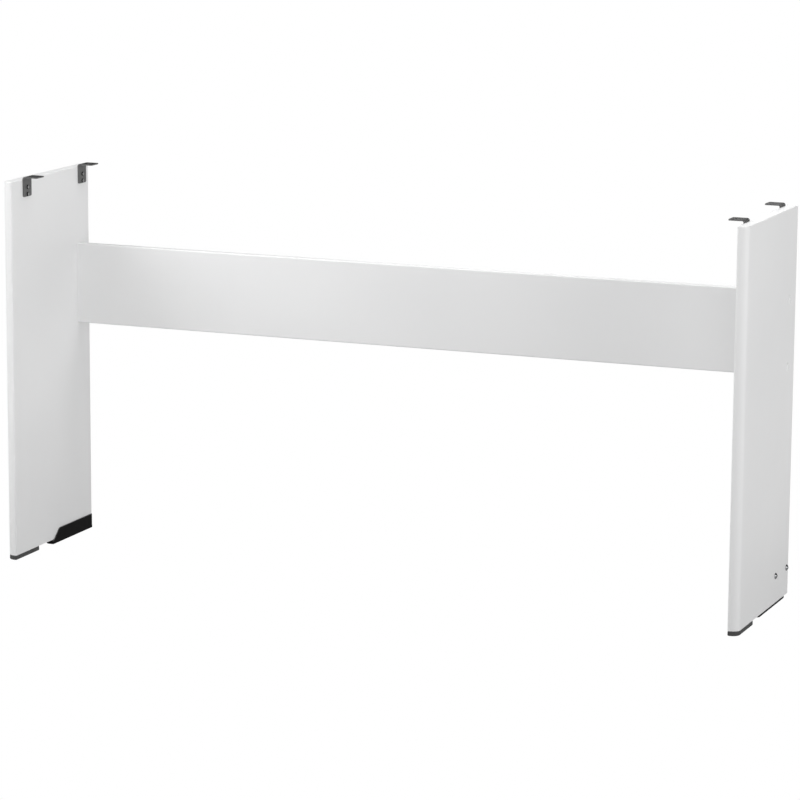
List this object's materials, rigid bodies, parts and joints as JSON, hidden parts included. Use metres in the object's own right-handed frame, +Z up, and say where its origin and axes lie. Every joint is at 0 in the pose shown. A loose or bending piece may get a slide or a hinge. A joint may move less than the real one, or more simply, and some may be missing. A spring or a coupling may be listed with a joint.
{
  "type": "digital piano stand",
  "caption": "Knock-down white stand for a slab digital piano: side panels joined by a low back board, steel brackets on top, feet below.",
  "frame": {"origin": "on the floor, in the middle of the stand's width and depth", "axes": "+X towards the player's right, -Y towards the player (front), +Z up"},
  "size_m": [1.306, 0.28, 0.6545],
  "materials": {
    "white_board": "satin white foil over board",
    "white_band": "satin white edge band",
    "white_cap": "semi-gloss moulded",
    "bracket_steel": "dark grey coated sheet steel",
    "black_screw": "black oxide",
    "grey_foot": "dark grey moulded rubber",
    "black_foot": "black moulded, fine texture",
    "chrome_bolt": "polished",
    "zinc_steel": "bright zinc",
    "beech": "bare beech"
  },
  "bodies": {
    "root": {"back_panel": "white_board", "side_panel_left": "white_board", "side_panel_right": "white_board", "rear_edge_band_left": "white_band", "rear_edge_band_right": "white_band", "top_edge_band_left": "white_band", "top_edge_band_right": "white_band", "front_foot_left": "grey_foot", "front_foot_right": "grey_foot", "front_foot_screws_left": "zinc_steel", "front_foot_screws_right": "zinc_steel", "rear_foot_left": "black_foot", "rear_foot_right": "black_foot", "rear_foot_screws_left": "zinc_steel", "rear_foot_screws_right": "zinc_steel", "back_panel_dowels_left": "beech", "back_panel_dowels_right": "beech", "piano_bracket_front_left": "bracket_steel", "piano_bracket_front_right": "bracket_steel", "piano_bracket_rear_left": "bracket_steel", "piano_bracket_rear_right": "bracket_steel", "bracket_screws_front_left": "black_screw", "bracket_screws_front_right": "black_screw", "bracket_screws_rear_left": "black_screw", "bracket_screws_rear_right": "black_screw", "joint_bolt_lower_left": "zinc_steel", "joint_bolt_lower_right": "zinc_steel", "joint_bolt_upper_left": "zinc_steel", "joint_bolt_upper_right": "zinc_steel", "barrel_nut_lower_left": "zinc_steel", "barrel_nut_lower_right": "zinc_steel", "barrel_nut_upper_left": "zinc_steel", "barrel_nut_upper_right": "zinc_steel", "screw_cap_lower_left": "white_cap", "screw_cap_lower_right": "white_cap", "screw_cap_upper_left": "white_cap", "screw_cap_upper_right": "white_cap", "accessory_bolt_front_left": "chrome_bolt", "accessory_bolt_front_right": "chrome_bolt", "accessory_bolt_rear_left": "chrome_bolt", "accessory_bolt_rear_right": "chrome_bolt", "accessory_insert_front_left": "zinc_steel", "accessory_insert_front_right": "zinc_steel", "accessory_insert_rear_left": "zinc_steel", "accessory_insert_rear_right": "zinc_steel"}
  },
  "joints": []
}
